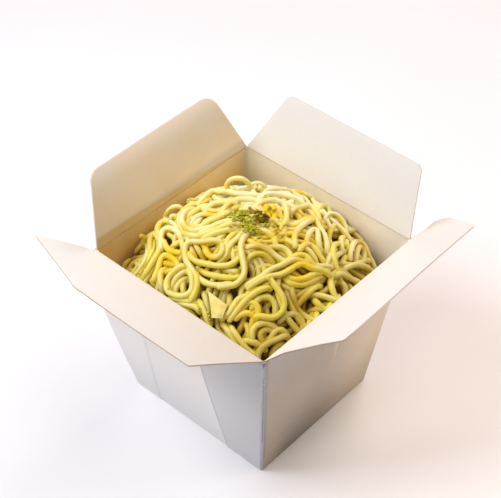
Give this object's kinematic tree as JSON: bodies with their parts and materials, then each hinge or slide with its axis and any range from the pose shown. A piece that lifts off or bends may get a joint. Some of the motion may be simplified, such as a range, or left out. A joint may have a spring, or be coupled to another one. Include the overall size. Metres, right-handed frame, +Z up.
{
  "type": "noodle takeaway box",
  "caption": "Open square takeaway box of white folded paperboard with four crease-hinged top flaps, heaped with a dome of yellow noodles under chopped green leaf and a pale slice",
  "frame": {"origin": "middle of the box's base, on the surface it stands on", "axes": "+Z up; the front wall faces -Y and the right wall faces +X, so the front and right flaps meet at the corner at +X and -Y; back is +Y and left is -X"},
  "size_m": [0.1462, 0.1451, 0.1227],
  "materials": {
    "board": "smooth white paperboard, satin",
    "noodles": "moist and slightly glossy, yellow",
    "slice": "moist, pale yellow"
  },
  "bodies": {
    "box": {"box_body": "board", "noodles": "noodles", "pale_slice": "slice"},
    "front_flap": {"flap_front": "board"},
    "right_flap": {"flap_right": "board"},
    "back_flap": {"flap_back": "board"},
    "left_flap": {"flap_left": "board"}
  },
  "joints": [
    {"name": "front_crease", "type": "hinge", "parent": "box", "child": "front_flap", "pos_m": [0, -0.0508, 0.091], "axis": [-1, 0, 0], "range_deg": [-82, 104]},
    {"name": "right_crease", "type": "hinge", "parent": "box", "child": "right_flap", "pos_m": [0.05, 0, 0.091], "axis": [0, -1, 0], "range_deg": [-100, 83]},
    {"name": "back_crease", "type": "hinge", "parent": "box", "child": "back_flap", "pos_m": [0, 0.0508, 0.091], "axis": [1, 0, 0], "range_deg": [-140, 46]},
    {"name": "left_crease", "type": "hinge", "parent": "box", "child": "left_flap", "pos_m": [-0.05, 0, 0.091], "axis": [0, 1, 0], "range_deg": [-150, 70]}
  ]
}
